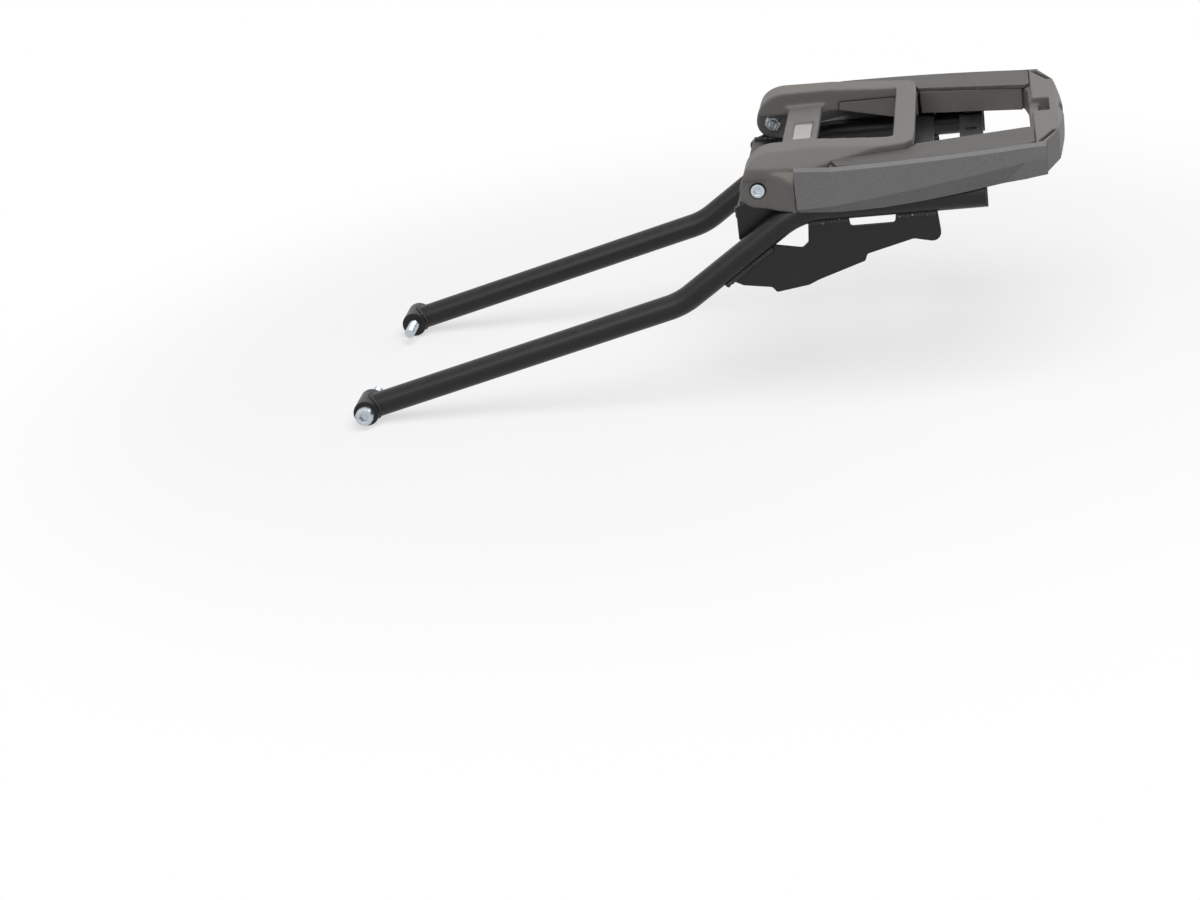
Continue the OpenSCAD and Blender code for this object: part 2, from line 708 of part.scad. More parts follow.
module strap_washers() {
    color(zinc) for (m = [0, 1]) mirror([0, m, 0]) for (x = screw_xs)
        translate([x, strap_screw_y, strap_z - washer_t]) difference() {
            cylinder(d = 12, h = washer_t);
            translate([0, 0, -1]) cylinder(d = strap_screw_d + 2 * hole_clear, h = washer_t + 2);
        }
}

module thread_inserts() {
    color([0.75, 0.6, 0.3]) for (m = [0, 1]) mirror([0, m, 0]) for (x = screw_xs)
        translate([x, strap_screw_y, strap_z + strap_t]) difference() {
            cylinder(d = insert_d, h = insert_len);
            translate([0, 0, -1]) cylinder(d = strap_screw_d, h = insert_len + 2);
        }
}

carry_loop();
badge_plate();
rear_deck();
rail_pad("left");  // rail_pad_left
rail_pad("right");  // rail_pad_right
inner_panel("left");  // inner_panel_left
inner_panel("right");  // inner_panel_right
side_skirt("left");  // side_skirt_left
side_skirt("right");  // side_skirt_right
nose_screws();
nose_washers();
nose_nuts();
front_lug("left");  // front_lug_left
front_lug("right");  // front_lug_right
front_crossmember();
side_tube("left");  // side_tube_left
side_tube("right");  // side_tube_right
front_boss("left");  // front_boss_left
front_boss("right");  // front_boss_right
boss_bolt("left");  // boss_bolt_left
boss_bolt("right");  // boss_bolt_right
tube_end_cap("left");  // tube_end_cap_left
tube_end_cap("right");  // tube_end_cap_right
gusset("left");  // gusset_left
gusset("right");  // gusset_right
front_strap();
rear_strap();
strap_screws();
strap_washers();
thread_inserts();
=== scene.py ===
"""Looks for a motorcycle top case rack: moulded plate, coated tube frame, welds and fasteners."""

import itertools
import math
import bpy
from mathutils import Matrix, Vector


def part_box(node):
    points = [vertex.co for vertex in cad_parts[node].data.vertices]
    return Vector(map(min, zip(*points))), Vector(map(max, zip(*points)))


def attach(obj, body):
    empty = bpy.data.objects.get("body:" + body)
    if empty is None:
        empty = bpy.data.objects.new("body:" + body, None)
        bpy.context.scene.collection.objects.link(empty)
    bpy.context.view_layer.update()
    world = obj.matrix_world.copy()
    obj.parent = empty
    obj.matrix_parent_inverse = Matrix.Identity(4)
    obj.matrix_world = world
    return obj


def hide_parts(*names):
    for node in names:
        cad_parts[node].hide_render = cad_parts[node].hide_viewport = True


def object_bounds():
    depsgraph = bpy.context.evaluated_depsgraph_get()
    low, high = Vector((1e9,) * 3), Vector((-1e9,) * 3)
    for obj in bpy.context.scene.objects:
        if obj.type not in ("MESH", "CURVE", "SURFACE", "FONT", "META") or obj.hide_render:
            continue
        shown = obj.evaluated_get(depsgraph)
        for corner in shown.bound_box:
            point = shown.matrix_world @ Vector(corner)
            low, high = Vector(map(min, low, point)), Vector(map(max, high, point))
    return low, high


bl_info = {
    "name": "Top Case Rack",
    "version": (1, 0, 0),
    "blender": (4, 5, 0),
    "location": "View3D > Sidebar > Rack",
    "description": "Dresses the packed rack with rounded mouldings, welds, threads and finishes",
    "category": "Object",
}

import bmesh
import bpy
from mathutils import Matrix, Vector

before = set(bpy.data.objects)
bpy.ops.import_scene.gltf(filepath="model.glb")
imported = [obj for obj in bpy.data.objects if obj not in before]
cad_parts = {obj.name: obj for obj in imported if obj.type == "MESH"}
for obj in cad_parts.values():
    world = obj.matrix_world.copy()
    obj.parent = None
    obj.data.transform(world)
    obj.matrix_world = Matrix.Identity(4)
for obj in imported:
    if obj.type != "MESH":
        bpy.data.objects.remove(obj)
CAD_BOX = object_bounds()
BODY = "root"
MM = 0.001
SIDES = ("left", "right")
# Corners of the tubes' centre lines, along X and Z
UPPER_CORNER = Vector((-0.074, 0.0, -0.0388))
LOWER_CORNER = Vector((-0.164, 0.0, -0.1013))


# Sizes and colours that a user would change
class RackMouldings(bpy.types.PropertyGroup):
    """Colours and roundings of the plastic pieces"""

    top_color: bpy.props.FloatVectorProperty(
        name="Plate colour", description="Base colour of the loop and the deck",
        subtype="COLOR", size=3, min=0, max=1, default=(0.145, 0.136, 0.128))
    pad_color: bpy.props.FloatVectorProperty(
        name="Pad colour", description="Base colour of the grained pads",
        subtype="COLOR", size=3, min=0, max=1, default=(0.080, 0.075, 0.070))
    skirt_color: bpy.props.FloatVectorProperty(
        name="Skirt colour", description="Base colour of the side skirts",
        subtype="COLOR", size=3, min=0, max=1, default=(0.185, 0.185, 0.190))
    grain: bpy.props.FloatProperty(
        name="Grain size", description="Width of one bump of the mould grain",
        subtype="DISTANCE", unit="LENGTH", default=0.0007)
    grain_height: bpy.props.FloatProperty(
        name="Grain height", description="Height of the mould grain",
        subtype="DISTANCE", unit="LENGTH", default=0.00012)
    voxel: bpy.props.FloatProperty(
        name="Rounding cell", description="Cell size of the rounded mouldings",
        subtype="DISTANCE", unit="LENGTH", default=0.0009)
    facet: bpy.props.FloatProperty(
        name="Facet depth", description="How far the skirts' lower facet leans inward",
        subtype="DISTANCE", unit="LENGTH", default=0.0025)
    loop_passes: bpy.props.IntProperty(
        name="Loop rounding", description="Smoothing passes on the carry loop", default=7)
    deck_passes: bpy.props.IntProperty(
        name="Deck rounding", description="Smoothing passes on the rear deck", default=5)


class RackSteel(bpy.types.PropertyGroup):
    """Coating and welds of the steel pieces"""

    coat_color: bpy.props.FloatVectorProperty(
        name="Coat colour", description="Colour of the satin black coating",
        subtype="COLOR", size=3, min=0, max=1, default=(0.006, 0.006, 0.0063))
    edge: bpy.props.FloatProperty(
        name="Edge rounding", description="Rounding of the sheet parts' edges",
        subtype="DISTANCE", unit="LENGTH", default=0.0005)
    bead: bpy.props.FloatProperty(
        name="Bead radius", description="Radius of the weld beads",
        subtype="DISTANCE", unit="LENGTH", default=0.0023)
    ripple: bpy.props.FloatProperty(
        name="Ripple step", description="Distance between two ripples of a bead",
        subtype="DISTANCE", unit="LENGTH", default=0.0012)
    bend: bpy.props.FloatProperty(
        name="Bend radius", description="Centre line radius of the tube bends",
        subtype="DISTANCE", unit="LENGTH", default=0.055)
    seed: bpy.props.IntProperty(name="Seed", description="Seed of the beads' unevenness", default=7)


class RackFasteners(bpy.types.PropertyGroup):
    """Threads and plating of the screws, nuts and washers"""

    zinc_color: bpy.props.FloatVectorProperty(
        name="Zinc colour", description="Colour of the bluish zinc plating",
        subtype="COLOR", size=3, min=0, max=1, default=(0.50, 0.545, 0.59))
    boss_pitch: bpy.props.FloatProperty(
        name="Boss bolt pitch", description="Thread pitch of the boss bolts",
        subtype="DISTANCE", unit="LENGTH", default=0.00125)
    screw_pitch: bpy.props.FloatProperty(
        name="Screw pitch", description="Thread pitch of the smaller screws",
        subtype="DISTANCE", unit="LENGTH", default=0.001)


class RackStage(bpy.types.PropertyGroup):
    """Camera, lamps and floor"""

    camera_place: bpy.props.FloatVectorProperty(
        name="Camera place", description="Where the camera stands",
        subtype="TRANSLATION", size=3, default=(0.07275, -1.83561, 0.50919))
    camera_aim: bpy.props.FloatVectorProperty(
        name="Camera aim", description="Point in the middle of the picture",
        subtype="TRANSLATION", size=3, default=(-0.2322, -0.12292, -0.19765))
    camera_roll: bpy.props.FloatProperty(
        name="Camera roll", description="Turn of the camera about its own axis",
        subtype="ANGLE", default=math.radians(7.8875))
    lens: bpy.props.FloatProperty(
        name="Lens", description="Focal length on a sensor 36 mm wide", default=78.0)
    floor_gap: bpy.props.FloatProperty(
        name="Floor gap", description="Gap between the lowest point and the floor",
        subtype="DISTANCE", unit="LENGTH", default=0.001)
    key_power: bpy.props.FloatProperty(
        name="Key power", description="Power of the large overhead lamp", default=17.5)
    fill_power: bpy.props.FloatProperty(
        name="Fill power", description="Power of the lamp beside the camera", default=5.5)
    rim_power: bpy.props.FloatProperty(
        name="Rim power", description="Power of the lamp behind the object", default=5.0)
    world_light: bpy.props.FloatProperty(
        name="World light", description="Strength of the even light all round", default=0.27)


GROUPS = {
    "rack_mouldings": RackMouldings,
    "rack_steel": RackSteel,
    "rack_fasteners": RackFasteners,
    "rack_stage": RackStage,
}


# Shader maths: a socket that takes part in sums, products and mixes
class Value:
    """One output socket of a finish; arithmetic on it adds Math nodes."""

    def __init__(self, finish, socket):
        self.finish = finish
        self.socket = socket

    def _math(self, operation, first, second=0.0):
        return self.finish.add("ShaderNodeMath", {"operation": operation}, {0: first, 1: second})

    def __add__(self, other):
        return self._math("ADD", self, other)

    def __radd__(self, other):
        return self._math("ADD", other, self)

    def __sub__(self, other):
        return self._math("SUBTRACT", self, other)

    def __rsub__(self, other):
        return self._math("SUBTRACT", other, self)

    def __mul__(self, other):
        return self._math("MULTIPLY", self, other)

    def __rmul__(self, other):
        return self._math("MULTIPLY", other, self)

    def step(self, low, high):
        """0 below low, 1 above high, smooth between them."""
        return self.finish.add("ShaderNodeMapRange", {"interpolation_type": "SMOOTHSTEP"},
                               {"Value": self, "From Min": low, "From Max": high})


class Finish:
    """A procedural material and the few calls that build its nodes."""

    def __init__(self, name, base, roughness, metallic=0.0):
        self.material = bpy.data.materials.new(name)
        self.material.use_nodes = True
        self.material.diffuse_color = (*base, 1.0)
        self.tree = self.material.node_tree
        self.shader = self.tree.nodes["Principled BSDF"]
        self.shader.inputs["Base Color"].default_value = (*base, 1.0)
        self.shader.inputs["Roughness"].default_value = roughness
        self.shader.inputs["Metallic"].default_value = metallic
        self.place = self.add("ShaderNodeTexCoord", {}, {}, "Object")

    def add(self, kind, settings, sockets, output=0):
        """Adds a node: its settings first, then the values or links of its sockets."""
        node = self.tree.nodes.new(kind)
        for key, value in settings.items():
            setattr(node, key, value)
        for key, value in sockets.items():
            if isinstance(value, Value):
                self.tree.links.new(value.socket, node.inputs[key])
            else:
                node.inputs[key].default_value = value
        return Value(self, node.outputs[output])

    def stretched(self, scale):
        """Object coordinates, scaled apart along each axis."""
        return self.add("ShaderNodeVectorMath", {"operation": "MULTIPLY"},
                        {0: self.place, 1: scale})

    def noise(self, width, detail=2.0, place=None, rough=0.5):
        """Noise whose blobs are about this wide, in metres."""
        return self.add("ShaderNodeTexNoise", {}, {
            "Vector": place or self.place, "Scale": 1.0 / width,
            "Detail": detail, "Roughness": rough})

    def cells(self, width):
        """Distance to the middle of a pebble of about this width."""
        return self.add("ShaderNodeTexVoronoi", {}, {"Vector": self.place, "Scale": 1.0 / width})

    def facing(self, axis):
        """How far the surface faces along one axis, from -1 to 1."""
        normal = self.add("ShaderNodeNewGeometry", {}, {}, "Normal")
        return self.add("ShaderNodeSeparateXYZ", {}, {0: normal}, axis)

    def mix(self, first, second, factor):
        """Mixes two colours: the node's sockets 6 and 7, with the result on its output 2."""
        return self.add("ShaderNodeMix", {"data_type": "RGBA"}, {0: factor, 6: first, 7: second}, 2)

    def color(self, value):
        self.tree.links.new(value.socket, self.shader.inputs["Base Color"])

    def roughness(self, value):
        self.tree.links.new(value.socket, self.shader.inputs["Roughness"])

    def metallic(self, value):
        self.tree.links.new(value.socket, self.shader.inputs["Metallic"])

    def bump(self, height, depth):
        """Feeds a height, from 0 to 1, through a Bump node whose full depth is given in metres."""
        normal = self.add("ShaderNodeBump", {}, {
            "Height": height, "Distance": depth, "Strength": 1.0}, "Normal")
        self.tree.links.new(normal.socket, self.shader.inputs["Normal"])


def tint(color, factor):
    """A colour made lighter or darker, with full alpha."""
    return tuple(min(1.0, c * factor) for c in color) + (1.0,)


FINISHES = {}


def finish_once(name, build):
    """Returns the material of that name, made on first use."""
    if name not in FINISHES:
        FINISHES[name] = build(name).material
    return FINISHES[name]


def moulded_finish(name, base, speckle, dust):
    """Grained plastic: pebbled bump, cloudy tone, fine speckle and a film of dust on top."""
    sizes = bpy.context.scene.rack_mouldings
    finish = Finish(name, base, 0.5)
    pebble = finish.cells(sizes.grain)
    fine = finish.noise(sizes.grain * 0.6, 2.0)
    cloud = finish.noise(0.035, 3.0)
    tone = finish.mix(tint(base, 0.94), tint(base, 1.06), cloud)
    tone = finish.mix(tone, tint(base, 1.0 + 2.2 * speckle), fine.step(0.60, 0.74) * 0.75)
    tone = finish.mix(tone, tint(base, 1.0 - 0.7 * speckle), pebble.step(0.45, 0.8) * 0.6)
    film = finish.facing("Z").step(0.55, 0.98) * finish.noise(0.02, 5.0).step(0.2, 0.9)
    finish.color(finish.mix(tone, (0.33, 0.30, 0.27, 1.0), film * dust))
    finish.roughness(0.46 + 0.12 * fine + 0.08 * cloud + 0.1 * film)
    finish.bump(pebble * 0.6 + fine * 0.5, sizes.grain_height)
    finish.shader.inputs["Specular IOR Level"].default_value = 0.45
    return finish


def plate_finish(name):
    """Warm grey plastic of the loop, the deck and the panels, dusty on top."""
    base = tuple(bpy.context.scene.rack_mouldings.top_color)
    return moulded_finish(name, base, speckle=0.2, dust=0.16)


def skirt_finish(name):
    """Cooler and more speckled plastic of the side skirts."""
    base = tuple(bpy.context.scene.rack_mouldings.skirt_color)
    return moulded_finish(name, base, speckle=0.42, dust=0.05)


def pad_finish(name):
    """Plastic with a lengthwise brushed grain."""
    base = tuple(bpy.context.scene.rack_mouldings.pad_color)
    finish = Finish(name, base, 0.55)
    streak = finish.noise(0.0016, 4.0, finish.stretched((0.03, 1.0, 1.0)), 0.65)
    fibre = finish.noise(0.0007, 2.0, finish.stretched((0.04, 1.0, 1.0)), 0.6)
    cloud = finish.noise(0.03, 3.0)
    tone = finish.mix(tint(base, 0.7), tint(base, 1.3), streak.step(0.3, 0.72))
    tone = finish.mix(tone, tint(base, 1.45), fibre.step(0.58, 0.75) * 0.5)
    finish.color(finish.mix(tone, tint(base, 0.85), cloud.step(0.45, 0.7) * 0.5))
    finish.roughness(0.5 + 0.16 * streak)
    finish.bump(streak * 0.6 + fibre * 0.4, 0.00025)
    return finish


def coat_finish(name):
    """Satin black powder coat with a faint orange peel."""
    base = tuple(bpy.context.scene.rack_steel.coat_color)
    finish = Finish(name, base, 0.4)
    peel = finish.noise(0.0016, 2.0)
    cloud = finish.noise(0.02, 3.0)
    film = finish.facing("Z").step(0.2, 1.0) * finish.noise(0.006, 4.0).step(0.4, 0.8)
    tone = finish.mix(tint(base, 0.8), tint(base, 1.5), cloud)
    finish.color(finish.mix(tone, (0.09, 0.085, 0.08, 1.0), film * 0.18))
    finish.roughness(0.33 + 0.08 * cloud + 0.12 * film)
    finish.bump(peel, 0.00006)
    finish.shader.inputs["Specular IOR Level"].default_value = 0.36
    return finish


def weld_finish(name):
    """The same coat over weld beads, with a few bare glints."""
    base = tuple(bpy.context.scene.rack_steel.coat_color)
    finish = Finish(name, base, 0.45)
    scale = finish.noise(0.0011, 3.0)
    bare = finish.noise(0.0028, 2.0).step(0.66, 0.72)
    tone = finish.mix(tint(base, 1.2), tint(base, 3.2), scale.step(0.4, 0.7))
    finish.color(finish.mix(tone, (0.45, 0.44, 0.42, 1.0), bare * 0.8))
    finish.metallic(bare * 0.9)
    finish.roughness(0.36 + 0.2 * scale)
    finish.bump(scale, 0.0003)
    return finish


def zinc_finish(name):
    """Zinc plating with a bluish cast and turning marks."""
    base = tuple(bpy.context.scene.rack_fasteners.zinc_color)
    finish = Finish(name, base, 0.3, 1.0)
    cloud = finish.noise(0.004, 3.0)
    mark = finish.noise(0.0004, 2.0)
    tone = finish.mix(tint(base, 0.82), tint(base, 1.18), cloud)
    patch = finish.noise(0.007, 2.0).step(0.55, 0.75)
    finish.color(finish.mix(tone, (0.74, 0.70, 0.58, 1.0), patch * 0.35))
    finish.roughness(0.2 + 0.14 * cloud + 0.08 * mark)
    finish.bump(mark, 0.00003)
    return finish


def brass_finish(name):
    """Bare brass of the thread inserts."""
    base = (0.72, 0.52, 0.24)
    finish = Finish(name, base, 0.35, 1.0)
    cloud = finish.noise(0.002, 3.0)
    finish.color(finish.mix(tint(base, 0.75), tint(base, 1.1), cloud))
    finish.roughness(0.28 + 0.2 * cloud)
    finish.bump(finish.noise(0.0003), 0.00003)
    return finish


def badge_finish(name):
    """Bare silver plate, brushed along the rack's width."""
    base = (0.46, 0.455, 0.44)
    finish = Finish(name, base, 0.38, 0.75)
    brush = finish.noise(0.0004, 2.0, finish.stretched((1.0, 0.03, 1.0)))
    smudge = finish.noise(0.009, 3.0)
    finish.color(finish.mix(tint(base, 0.8), tint(base, 1.15), brush))
    finish.roughness(0.32 + 0.14 * brush + 0.12 * smudge)
    finish.bump(brush, 0.00004)
    return finish


def rubber_finish(name):
    """Matt black plastic of the tubes' end caps."""
    base = (0.022, 0.022, 0.022)
    finish = Finish(name, base, 0.6)
    fine = finish.noise(0.0006)
    finish.color(finish.mix(tint(base, 0.8), tint(base, 1.6), fine))
    finish.roughness(0.52 + 0.2 * fine)
    finish.bump(fine, 0.00008)
    return finish


# Meshes
MERGE_DISTANCE = 2e-6
FLAT_ANGLE = math.radians(0.5)
# How far a point moves toward the middle of its neighbours in one pass
SMOOTHING_PULL = 0.5


def keep(piece, slot, finish, *replaced):
    """Gives a finished piece its material and its place in the frame."""
    piece.data.materials.clear()
    piece.data.materials.append(finish)
    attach(piece, BODY)
    if replaced:
        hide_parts(*replaced)
    return piece


def new_piece(name, mesh):
    """An object for a mesh, at the origin."""
    piece = bpy.data.objects.new(name, mesh)
    bpy.context.scene.collection.objects.link(piece)
    return piece


def merged_copy(node, name):
    """A copy of a CAD node's mesh with its loose triangles joined into flat faces."""
    bm = bmesh.new()
    bm.from_mesh(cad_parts[node].data)
    bmesh.ops.remove_doubles(bm, verts=bm.verts, dist=MERGE_DISTANCE)
    bmesh.ops.dissolve_limit(bm, angle_limit=FLAT_ANGLE, verts=bm.verts, edges=bm.edges)
    mesh = bpy.data.meshes.new(name)
    bm.to_mesh(mesh)
    bm.free()
    return new_piece(name, mesh)


def baked(piece):
    """Turns a piece's live modifiers into its plain mesh."""
    bpy.context.view_layer.update()
    evaluated = piece.evaluated_get(bpy.context.evaluated_depsgraph_get())
    mesh = bpy.data.meshes.new_from_object(evaluated)
    piece.modifiers.clear()
    piece.data = mesh
    return piece


def smooth_by_angle(piece, angle):
    """Smooth shading, with edges sharper than the angle left crisp."""
    piece.data.shade_smooth()
    piece.data.set_sharp_from_angle(angle=math.radians(angle))
    return piece


def bevelled(node, name, width, segments=2, angle=32.0, reshape=None):
    """A copy of a CAD node with its edges rounded; reshape(point) may move its corners first."""
    piece = merged_copy(node, name)
    if reshape:
        for v in piece.data.vertices:
            v.co = reshape(v.co)
    bevel = piece.modifiers.new("edges", "BEVEL")
    bevel.width = width
    bevel.segments = segments
    bevel.limit_method = "ANGLE"
    bevel.angle_limit = math.radians(angle)
    weighted = piece.modifiers.new("normals", "WEIGHTED_NORMAL")
    weighted.keep_sharp = True
    piece.data.shade_smooth()
    return baked(piece)


def softened(node, name, voxel, passes, hold=None):
    """A copy of a CAD node as one even skin whose edges and corners are rounded off.

    hold(point) says how much of the rounding a point keeps, from 0 to 1.
    """
    piece = merged_copy(node, name)
    remesh = piece.modifiers.new("skin", "REMESH")
    remesh.mode = "VOXEL"
    remesh.voxel_size = voxel
    baked(piece)
    bm = bmesh.new()
    bm.from_mesh(piece.data)
    bm.verts.ensure_lookup_table()
    weights = [1.0 if hold is None else hold(v.co) for v in bm.verts]
    rings = [[e.other_vert(v).index for e in v.link_edges] for v in bm.verts]
    points = [v.co.copy() for v in bm.verts]
    for _ in range(passes):
        pulled = []
        for i, ring in enumerate(rings):
            centre = Vector((0.0, 0.0, 0.0))
            for j in ring:
                centre += points[j]
            pulled.append(points[i].lerp(centre / len(ring), SMOOTHING_PULL * weights[i]))
        points = pulled
    low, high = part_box(node)
    for v, point in zip(bm.verts, points):
        v.co = [min(max(c, a), b) for c, a, b in zip(point, low, high)]
    bm.to_mesh(piece.data)
    bm.free()
    piece.data.shade_smooth()
    return piece


# Turned parts: rings of radii round an axis, one closed skin
SEGMENTS = 48
RINGS_PER_TURN = 8
# Clearance of a thread's crests, and the small edge breaks of a screw
CREST_GAP = 0.05 * MM
EDGE_BREAK = 0.3 * MM


def hexagon(across_flats):
    """Radius of a hexagon at an angle."""
    third = math.pi / 3
    return lambda a: across_flats / 2 / math.cos((a % third) - third / 2)


def round_of(radius):
    """The same radius at every angle."""
    return lambda a: radius


def thread_rings(radius, pitch, depth, start, end):
    """Rings of a screw thread: (place along the axis, radius at an angle)."""
    count = max(2, int(round((end - start) / pitch * RINGS_PER_TURN)))
    rings = []
    for i in range(count + 1):
        s = start + (end - start) * i / count
        fade = min(1.0, (end - s) / pitch, (s - start) / pitch)

        def radius_at(a, s=s, fade=fade):
            turn = (s / pitch - a / (2 * math.pi)) % 1.0
            return radius - depth * fade * (1.0 - abs(2.0 * turn - 1.0))

        rings.append((s, radius_at))
    return rings


def turned_mesh(name, rings, place, closed=False):
    """Skins the rings; place maps (along, across, up) to the frame. A fan closes each end."""
    bm = bmesh.new()
    rows = []
    for s, radius_at in rings:
        row = []
        for k in range(SEGMENTS):
            a = 2 * math.pi * k / SEGMENTS
            r = radius_at(a)
            row.append(bm.verts.new(place @ Vector((s, r * math.cos(a), r * math.sin(a)))))
        rows.append(row)
    pairs = list(zip(rows, rows[1:])) + ([(rows[-1], rows[0])] if closed else [])
    for low, high in pairs:
        for k in range(SEGMENTS):
            n = (k + 1) % SEGMENTS
            bm.faces.new((low[k], low[n], high[n], high[k]))
    if not closed:
        for row, s in ((rows[0], rings[0][0]), (rows[-1], rings[-1][0])):
            hub = bm.verts.new(place @ Vector((s, 0.0, 0.0)))
            for k in range(SEGMENTS):
                bm.faces.new((row[k], row[(k + 1) % SEGMENTS], hub))
    bmesh.ops.recalc_face_normals(bm, faces=bm.faces)
    mesh = bpy.data.meshes.new(name)
    bm.to_mesh(mesh)
    bm.free()
    return mesh


def joined(name, meshes):
    """One mesh out of several."""
    bm = bmesh.new()
    for mesh in meshes:
        bm.from_mesh(mesh)
        bpy.data.meshes.remove(mesh)
    mesh = bpy.data.meshes.new(name)
    bm.to_mesh(mesh)
    bm.free()
    return mesh


def socket_screw_rings(d, head_d, head_h, shank, thread, pitch):
    """From the thread's tip to the bottom of the hexagon socket; 0 is under the head."""
    r = d / 2
    head_r = head_d / 2
    flats = d * 0.78
    floor = head_h * 0.4
    depth = 0.54 * pitch
    chamfer = 0.06 * head_d
    tip = -shank - thread
    rings = [(tip, round_of(r - depth - 2 * CREST_GAP)), (tip + depth, round_of(r - CREST_GAP))]
    rings += thread_rings(r - CREST_GAP, pitch, depth, tip + depth, -shank)
    rings += [(-shank, round_of(r)), (0.0, round_of(r)), (0.0, round_of(head_r - EDGE_BREAK)),
              (EDGE_BREAK, round_of(head_r)), (head_h - chamfer, round_of(head_r)),
              (head_h - 0.3 * chamfer, round_of(head_r - 0.35 * chamfer)),
              (head_h, round_of(head_r - 1.2 * chamfer)),
              (head_h, round_of(flats * 0.64)), (head_h - 0.35 * MM, hexagon(flats)),
              (floor, hexagon(flats)), (floor - 0.8 * MM, round_of(0.4 * MM))]
    return rings


def pointing(x, y, z, direction):
    """Places a turned part at a point with its axis along a direction."""
    turn = Vector((1, 0, 0)).rotation_difference(Vector(direction)).to_matrix().to_4x4()
    return Matrix.Translation((x, y, z)) @ turn


def ring_along(name, place, outer, inner, length, chamfer):
    """A washer or a nut: outer is its radius at an angle, inner the radius of its hole."""
    def face(a):
        return min(outer(a), outer(math.pi / 6) + chamfer * 0.6) - chamfer * 0.4

    mouth = round_of(inner + chamfer * 0.5)
    rings = [(0.0, face), (chamfer * 0.6, outer), (length - chamfer * 0.6, outer), (length, face),
             (length, mouth), (length - chamfer * 0.5, round_of(inner)),
             (chamfer * 0.5, round_of(inner)), (0.0, mouth)]
    return turned_mesh(name, rings, place, closed=True)


# Geometry Nodes: swept tubes and weld beads
def new_tree(name, inputs):
    """An empty geometry tree, the identifiers of its inputs, and a call that adds a node to it."""
    tree = bpy.data.node_groups.new(name, "GeometryNodeTree")
    sockets = {}
    for label, kind, value in (("Path", "Geometry", None), *inputs, ("Finish", "Material", None)):
        socket = tree.interface.new_socket(name=label, in_out="INPUT",
                                           socket_type=f"NodeSocket{kind}")
        if value is not None:
            socket.default_value = value
        sockets[label] = socket.identifier
    tree.interface.new_socket(name="Mesh", in_out="OUTPUT", socket_type="NodeSocketGeometry")

    def add(kind, settings, values):
        node = tree.nodes.new(kind)
        for key, value in settings.items():
            setattr(node, key, value)
        for key, value in values.items():
            if isinstance(value, bpy.types.NodeSocket):
                tree.links.new(value, node.inputs[key])
            else:
                node.inputs[key].default_value = value
        return node.outputs

    return tree, sockets, add


def sweep_tree():
    """A round bar along a bent path whose corners are rounded."""
    tree, sockets, add = new_tree("swept tube", (("Radius", "Float", 0.009),
                                                 ("Bend", "Float", 0.055)))
    given = add("NodeGroupInput", {}, {})
    curve = add("GeometryNodeMeshToCurve", {}, {"Mesh": given["Path"]})
    bent = add("GeometryNodeFilletCurve", {"mode": "POLY"},
               {"Curve": curve[0], "Radius": given["Bend"], "Count": 20})
    circle = add("GeometryNodeCurvePrimitiveCircle", {"mode": "RADIUS"},
                 {"Resolution": 56, "Radius": given["Radius"]})
    bar = add("GeometryNodeCurveToMesh", {}, {"Curve": bent[0], "Profile Curve": circle[0],
                                              "Fill Caps": True})
    real = add("GeometryNodeRealizeInstances", {}, {0: bar[0]})
    finished = add("GeometryNodeSetMaterial", {},
                   {"Geometry": real[0], "Material": given["Finish"]})
    add("NodeGroupOutput", {}, {0: finished[0]})
    return tree, sockets


def bead_tree():
    """Rows of overlapping lumps along a path."""
    tree, sockets, add = new_tree("weld bead", (
        ("Radius", "Float", 0.002), ("Step", "Float", 0.0014),
        ("Unevenness", "Float", 0.16), ("Seed", "Int", 0)))
    given = add("NodeGroupInput", {}, {})
    curve = add("GeometryNodeMeshToCurve", {}, {"Mesh": given["Path"]})
    points = add("GeometryNodeResampleCurve", {"mode": "LENGTH"},
                 {"Curve": curve[0], "Length": given["Step"]})
    lump = add("GeometryNodeMeshIcoSphere", {}, {"Radius": given["Radius"], "Subdivisions": 2})
    low = add("ShaderNodeMath", {"operation": "SUBTRACT"}, {0: 1.0, 1: given["Unevenness"]})
    high = add("ShaderNodeMath", {"operation": "ADD"}, {0: 1.0, 1: given["Unevenness"]})
    size = add("FunctionNodeRandomValue", {"data_type": "FLOAT"},
               {"Min": low[0], "Max": high[0], "Seed": given["Seed"]})
    width = [socket for socket in size if socket.enabled][0]
    tangent = add("GeometryNodeInputTangent", {}, {})
    turn = add("FunctionNodeAlignRotationToVector", {"axis": "X"}, {"Vector": tangent[0]})
    flat = add("ShaderNodeCombineXYZ", {}, {0: 0.75, 1: width, 2: width})
    lumps = add("GeometryNodeInstanceOnPoints", {}, {
        "Points": points[0], "Instance": lump[0], "Rotation": turn[0], "Scale": flat[0]})
    real = add("GeometryNodeRealizeInstances", {}, {0: lumps[0]})
    finished = add("GeometryNodeSetMaterial", {},
                   {"Geometry": real[0], "Material": given["Finish"]})
    add("NodeGroupOutput", {}, {0: finished[0]})
    return tree, sockets


def along_paths(name, paths, tree, sockets, values):
    """A baked piece that a geometry tree makes along rows of points."""
    mesh = bpy.data.meshes.new(name)
    edges = []
    first = 0
    for path in paths:
        edges += [(first + i, first + i + 1) for i in range(len(path) - 1)]
        first += len(path)
    mesh.from_pydata([point for path in paths for point in path], edges, [])
    piece = new_piece(name, mesh)
    modifier = piece.modifiers.new("along path", "NODES")
    modifier.node_group = tree
    for label, value in values.items():
        modifier[sockets[label]] = value
    baked(piece)
    bm = bmesh.new()
    bm.from_mesh(piece.data)
    bmesh.ops.recalc_face_normals(bm, faces=bm.faces)
    bm.to_mesh(piece.data)
    bm.free()
    return smooth_by_angle(piece, 45.0)


